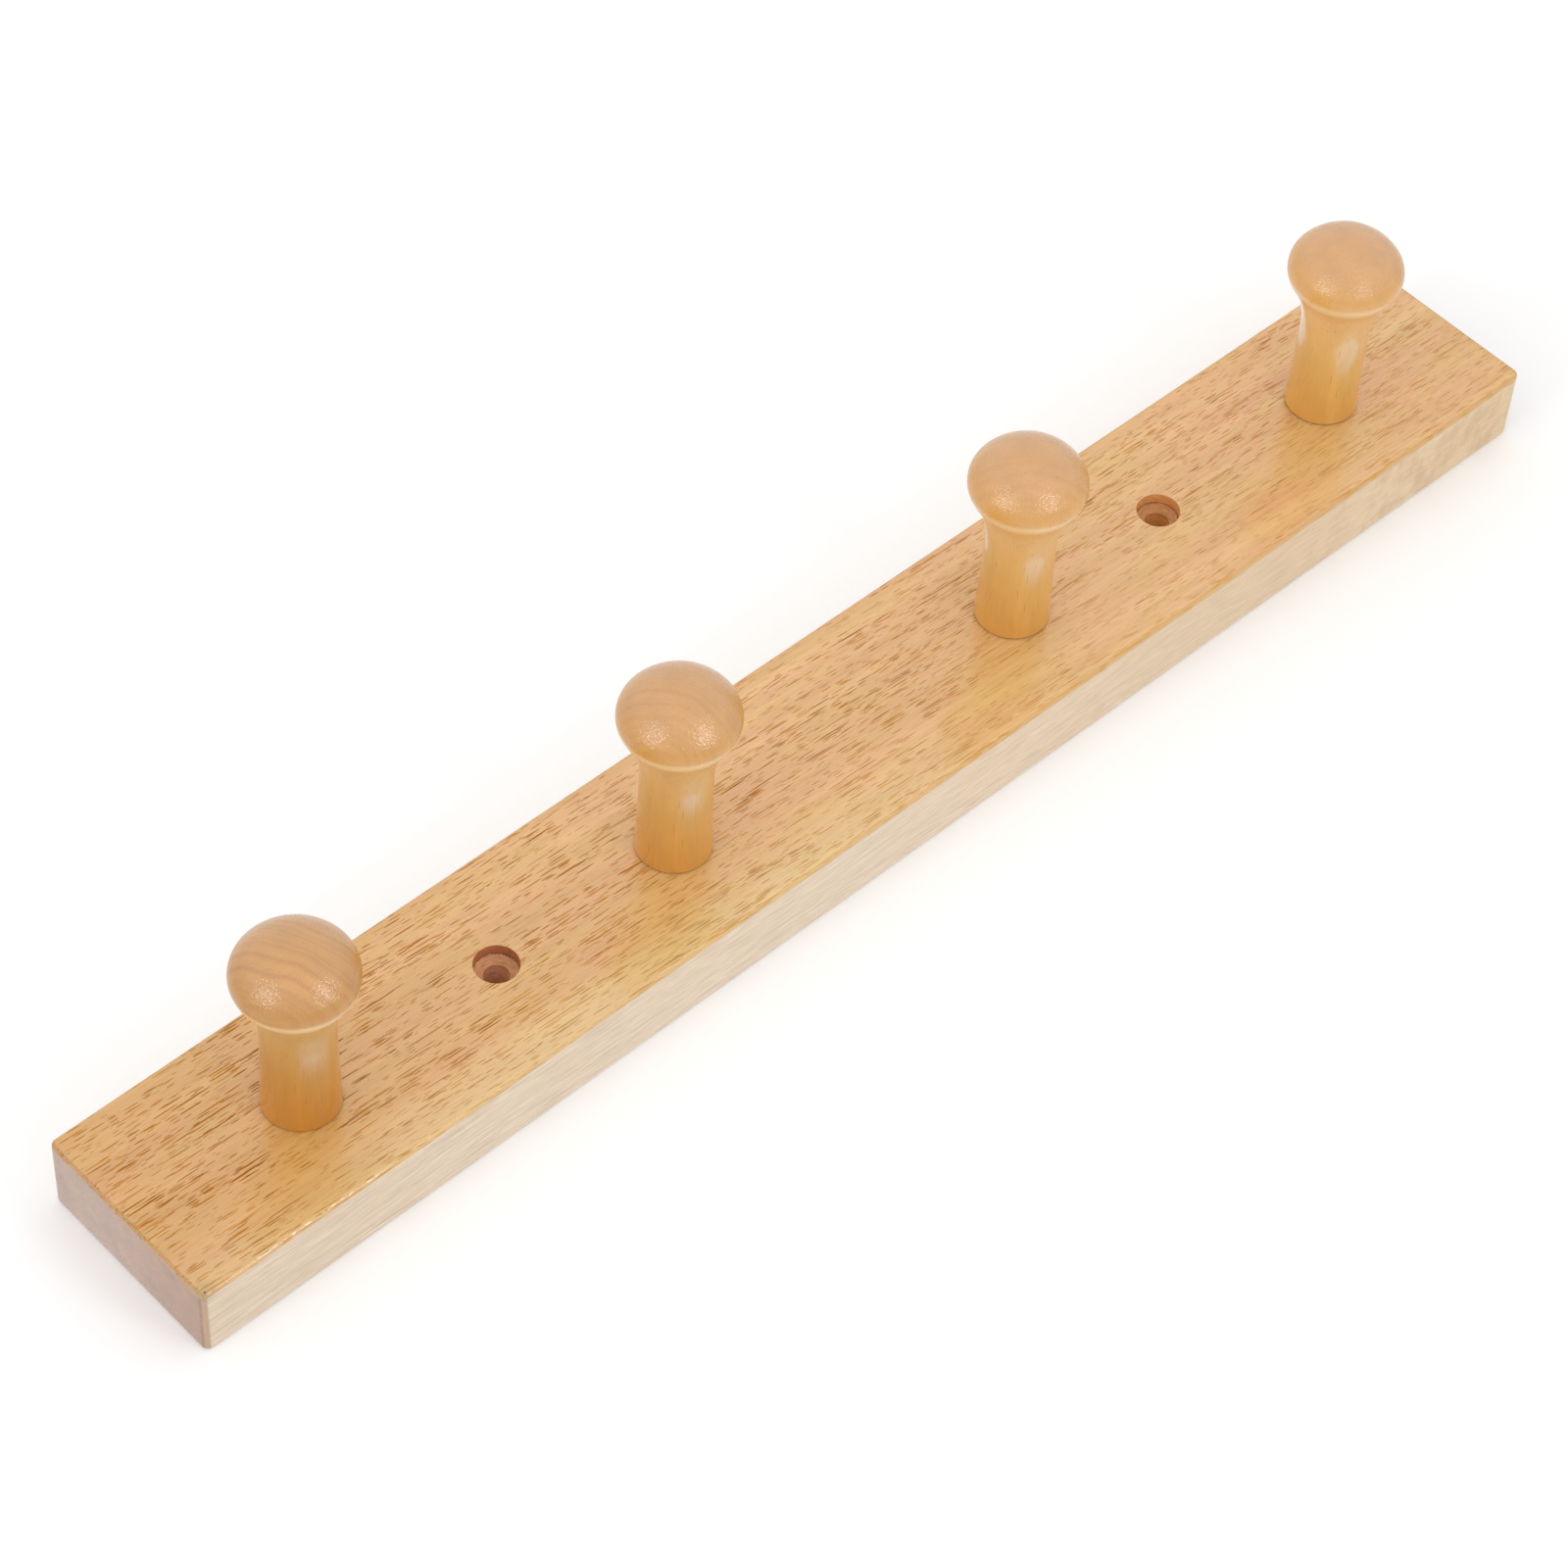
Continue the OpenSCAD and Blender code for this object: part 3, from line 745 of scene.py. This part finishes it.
def peg_finish(name, node, pith, paleness):
    """Lacquered rubberwood with its pith beside the peg, from amber to straw by a share."""
    material, tree = new_material(name)
    place = add(tree, "ShaderNodeTexCoord")
    foot = Vector((middle(node).x, middle(node).y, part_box(node)[0].z))
    in_mm = add(tree, "ShaderNodeMapping", {
        "Vector": place.outputs["Object"], "Scale": [mm_per_metre] * 3,
        "Location": -mm_per_metre * foot})
    height = add(tree, "ShaderNodeSeparateXYZ", {0: in_mm}).outputs[2]
    head_share = add(tree, "ShaderNodeMapRange", {"Value": height, "From Min": 36, "From Max": 42})

    # rings round the pith, clouds, fibres and vessels are all drawn out along the shaft; the
    # fibres are coarser than real, so that they show
    grain = waver(tree, in_mm, (9, 9, 40), (1.3, 1.3, 0))
    noise = grain_noise(tree, grain, {
        "clouds": ((7, 7, 26), 2),
        "fibres": ((0.32, 0.32, 14), 3)})
    from_pith = add(tree, "ShaderNodeVectorMath", {0: grain, 1: (pith[0], pith[1], 0)},
                    operation="SUBTRACT")
    ring_place = add(tree, "ShaderNodeVectorMath", {0: from_pith, 1: (1, 1, 0)},
                     operation="MULTIPLY")
    ring_place = add(tree, "ShaderNodeVectorMath", {0: ring_place}, operation="LENGTH")
    ring_place = add(tree, "ShaderNodeMath", {0: ring_place, 1: 1 / ring_spacing},
                     operation="MULTIPLY")
    ring_place = add(tree, "ShaderNodeCombineXYZ", {0: ring_place})
    rings = add(tree, "ShaderNodeTexNoise", {"Vector": ring_place, "Scale": 1, "Detail": 2})
    late_wood = add(tree, "ShaderNodeMapRange", {
        "Value": rings, "From Min": 0.42, "From Max": 0.68, "To Max": 0.5 - 0.44 * paleness},
        interpolation_type="SMOOTHSTEP")
    late_wood = add(tree, "ShaderNodeMath", {0: late_wood, 1: add(tree, "ShaderNodeMapRange", {
        "Value": head_share, "To Min": 0.25})}, operation="MULTIPLY")
    inside, _ = vessel_cells(tree, grain, size=(0.8, 0.8, 9), share=0.2, crowding=1.0)

    # the lacquer is deeper on the foot and the rim, where it gathered, than on the cove, which is
    # painted paler still against the shade under the head
    up = add(tree, "ShaderNodeMapRange", {"Value": height, "From Min": 0, "From Max": 51.8})
    amber, straw = [
        add(tree, "ShaderNodeValToRGB", {"Fac": up}, stops=[
            (0.06, foot_tone), (0.95, crown), (0.35, shaft), (0.65, cove), (0.84, rim)])
        for foot_tone, shaft, cove, rim, crown in (
            ("#c47f20", "#bd853a", "#c69d5b", "#be8432", "#ca914a"),
            ("#dba045", "#d8a75a", "#e8b878", "#d89e4b", "#d39a5b"))]
    colour = add(tree, "ShaderNodeMix", {0: paleness, 6: amber, 7: straw}, data_type="RGBA")
    colour = add(tree, "ShaderNodeMix", {0: late_wood, 6: colour, 7: late_wood_brown},
                 data_type="RGBA")
    shade = add(tree, "ShaderNodeMapRange", {
        "Value": noise["clouds"], "From Min": 0.3, "From Max": 0.7, "To Min": 0.93, "To Max": 1.08})
    colour = add(tree, "ShaderNodeVectorMath", {0: colour, "Scale": shade}, operation="SCALE")
    fibre_tone = add(tree, "ShaderNodeMapRange", {
        "Value": noise["fibres"], "From Min": 0.3, "From Max": 0.7, "To Min": 0.95, "To Max": 1.04})
    colour = add(tree, "ShaderNodeVectorMath", {0: colour, "Scale": fibre_tone}, operation="SCALE")
    pinpricks = add(tree, "ShaderNodeMath", {0: inside, 1: 0.3}, operation="MULTIPLY")
    colour = add(tree, "ShaderNodeMix", {0: pinpricks, 6: colour, 7: pinprick_brown},
                 data_type="RGBA")

    # a pale painted highlight rings the lip, a painted reflection of the white floor lies on the
    # shaft, and a dark seam runs round the foot
    lip_under, lip_over = [
        add(tree, "ShaderNodeMapRange", {"Value": height, "From Min": start, "From Max": full},
            interpolation_type="SMOOTHSTEP")
        for start, full in ((38.0, 39.4), (42.2, 40.6))]
    painted_lip_highlight = add(tree, "ShaderNodeMath", {0: lip_under, 1: lip_over}, operation="MULTIPLY")
    painted_lip_highlight = add(tree, "ShaderNodeMath", {0: painted_lip_highlight, 1: 0.75 - 0.15 * paleness}, operation="MULTIPLY")
    colour = add(tree, "ShaderNodeMix", {0: painted_lip_highlight, 6: colour, 7: lip_highlight_cream}, data_type="RGBA")
    # a milky painted reflection of the white floor on the front of the shaft
    facing = add(tree, "ShaderNodeVectorMath", {0: place.outputs["Normal"], 1: reflection_side},
                 operation="DOT_PRODUCT")
    painted_floor_reflection = 0.13 - 0.05 * paleness
    for value, start, full in ((facing.outputs["Value"], 0.86, 0.99), (height, 14, 25),
                               (height, 37, 28)):
        near = add(tree, "ShaderNodeMapRange", {
            "Value": value, "From Min": start, "From Max": full}, interpolation_type="SMOOTHSTEP")
        painted_floor_reflection = add(tree, "ShaderNodeMath", {0: near, 1: painted_floor_reflection}, operation="MULTIPLY")
    colour = add(tree, "ShaderNodeMix", {0: painted_floor_reflection, 6: colour, 7: floor_reflection_white}, data_type="RGBA")
    seam = add(tree, "ShaderNodeMapRange", {
        "Value": height, "From Min": 0.45, "From Max": 0.25, "To Max": 0.8})
    colour = add(tree, "ShaderNodeMix", {0: seam, 6: colour, 7: seam_brown}, data_type="RGBA")

    # heights in millimetres: fibres stand up a little, and the peel is strong on the head
    fibre_height, shaft_peel, head_peel = 0.006, 0.012, 0.14
    peel_per_mm = 2.0
    peel = add(tree, "ShaderNodeTexNoise", {"Vector": from_pith, "Scale": peel_per_mm, "Detail": 2})
    peel_height = add(tree, "ShaderNodeMapRange", {
        "Value": head_share, "To Min": shaft_peel, "To Max": head_peel})
    relief = add(tree, "ShaderNodeMath", {0: noise["fibres"], 1: fibre_height},
                 operation="MULTIPLY")
    relief = add(tree, "ShaderNodeMath", {0: peel, 1: peel_height, 2: relief},
                 operation="MULTIPLY_ADD")
    bump = add(tree, "ShaderNodeBump", {"Height": relief, "Distance": mm, "Strength": 1})
    # the film is thinner on the rim, and a warm sheen softens the sides
    on_rim = add(tree, "ShaderNodeMapRange", {"Value": height, "From Min": 49, "From Max": 44})
    on_rim = add(tree, "ShaderNodeMath", {0: on_rim, 1: head_share}, operation="MULTIPLY")
    lacquered = add(tree, "ShaderNodeMapRange", {"Value": on_rim, "To Min": 1.0, "To Max": 0.74})
    shader = add(tree, "ShaderNodeBsdfPrincipled", {
        "Base Color": colour, "Roughness": 0.45, "Normal": bump, "Specular IOR Level": 0.2,
        "Coat Weight": lacquered, "Coat Roughness": 0.15, "Coat IOR": 1.95, "Coat Normal": bump,
        "Sheen Weight": 0.2, "Sheen Roughness": 0.3, "Sheen Tint": "#ffd08c"})
    add(tree, "ShaderNodeOutputMaterial", {"Surface": shader})
    return material


# where the pith lies from each peg's middle, in millimetres, and how pale its lacquer is
peg_blanks = [((58, 29), 0.0), ((-54, -30), 0.5), ((44, 46), 0.85), ((-40, -52), 1.0)]
for number, (node, (pith, paleness)) in enumerate(zip(peg_nodes, peg_blanks), start=1):
    peg = turned_peg(f"turned_peg_{number}", node)
    smooth_faces(peg, sharp_wood_degrees)
    lacquer = peg_finish(f"amber_lacquered_rubberwood_{number}", node, pith, paleness)
    peg.data.materials.append(lacquer)
    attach(peg, "root")
    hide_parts(node)

# Floor
# A sheet of matt white paper that carries the shadow. It is no part of the
# rack. Seen directly or in a gloss it is as white as the photograph's ground,
# but in a gloss it is darker far off, which gives heads and shafts more form.
floor_reach = 4
floor_gap = 0.02 * mm
bm = bmesh.new()
bmesh.ops.create_grid(bm, x_segments=2, y_segments=2, size=floor_reach)
floor = to_mesh(bm, "paper_floor", (0, 0, board_low.z - floor_gap))
paper, tree = new_material("matt_white_paper")
place = add(tree, "ShaderNodeTexCoord")
seen = add(tree, "ShaderNodeLightPath")
lift = add(tree, "ShaderNodeMath", {0: seen.outputs["Is Camera Ray"], 1: 0.12},
           operation="MULTIPLY")
matt = add(tree, "ShaderNodeBsdfDiffuse", {"Color": "#f6f6f6"})
glow = add(tree, "ShaderNodeEmission", {"Color": "#ffffff", "Strength": lift})
sheet = add(tree, "ShaderNodeAddShader", {0: matt, 1: glow})
white = add(tree, "ShaderNodeEmission", {"Color": "#ffffff", "Strength": 1})
sheet = add(tree, "ShaderNodeMixShader", {0: seen.outputs["Is Glossy Ray"], 1: sheet, 2: white})
far_off = add(tree, "ShaderNodeVectorMath", {0: place.outputs["Object"]}, operation="LENGTH")
far_off = add(tree, "ShaderNodeMapRange", {
    "Value": far_off.outputs["Value"], "From Min": 0.3, "From Max": 0.9, "To Max": 0.6})
far_off = add(tree, "ShaderNodeMath", {0: far_off, 1: seen.outputs["Is Glossy Ray"]},
              operation="MULTIPLY")
dark = add(tree, "ShaderNodeBsdfDiffuse", {"Color": "#202020"})
sheet = add(tree, "ShaderNodeMixShader", {0: far_off, 1: sheet, 2: dark})
add(tree, "ShaderNodeOutputMaterial", {"Surface": sheet})
floor.data.materials.append(paper)

# Light
# A white tent lights the rack from all round, and two soft lamps, one far off
# at its left end and one near in front, leave the two glints on each head.
# The near one spreads over 80 degrees only, which keeps its light by the rack.
world = bpy.data.worlds.new("white_tent")
bpy.context.scene.world = world
world.use_nodes = True
tree = world.node_tree
tree.nodes.clear()
seen = add(tree, "ShaderNodeLightPath")
seen_by = add(tree, "ShaderNodeMath", {
    0: seen.outputs["Is Camera Ray"], 1: seen.outputs["Is Glossy Ray"]}, operation="MAXIMUM")
tent = add(tree, "ShaderNodeMapRange", {"Value": seen_by, "To Min": 0.95, "To Max": 1.0})
sky = add(tree, "ShaderNodeBackground", {"Color": "#ffffff", "Strength": tent})
add(tree, "ShaderNodeOutputWorld", {"Surface": sky})


def aimed(thing, place, aim):
    """Puts a lamp or the camera at a place and gives the turn that points it at an aim."""
    thing.location = place
    thing.rotation_mode = "QUATERNION"
    bpy.context.scene.collection.objects.link(thing)
    return (Vector(aim) - Vector(place)).to_track_quat("-Z", "Y")


def soft_lamp(name, place, aim, size, spread, power):
    """A round soft lamp that throws its light over an angle."""
    data = bpy.data.lights.new(name, "AREA")
    data.shape = "DISK"
    data.size = size
    data.spread = math.radians(spread)
    data.energy = power
    lamp = bpy.data.objects.new(name, data)
    lamp.rotation_quaternion = aimed(lamp, place, aim)


soft_lamp("end_lamp", place=(-2.63, 0.05, 1.5), aim=(0, 0, 0.05), size=0.9, spread=180, power=10)
soft_lamp("front_lamp", place=(0.026, -0.59, 0.406), aim=(-0.12, 0, 0.07), size=0.2, spread=80,
          power=0.11)

# Camera
# It stands 1 m off, above the left end of the rack's front edge, and leans
# by a few degrees. Its lens was fitted to the photograph with its place.
camera_place = (-0.484787, -0.446287, 0.795267)
camera_aim = (-0.020829, -0.003540, 0.020)
camera_roll = 4.387
camera_data = bpy.data.cameras.new("camera")
camera_data.sensor_width = 36
camera_data.lens = 106.35
camera_data.clip_start = 0.01
camera_data.clip_end = 50
camera = bpy.data.objects.new("camera", camera_data)
camera.rotation_quaternion = (aimed(camera, camera_place, camera_aim)
                              @ Quaternion((0, 0, 1), math.radians(camera_roll)))
bpy.context.scene.camera = camera
bpy.context.scene.view_settings.view_transform = "Standard"
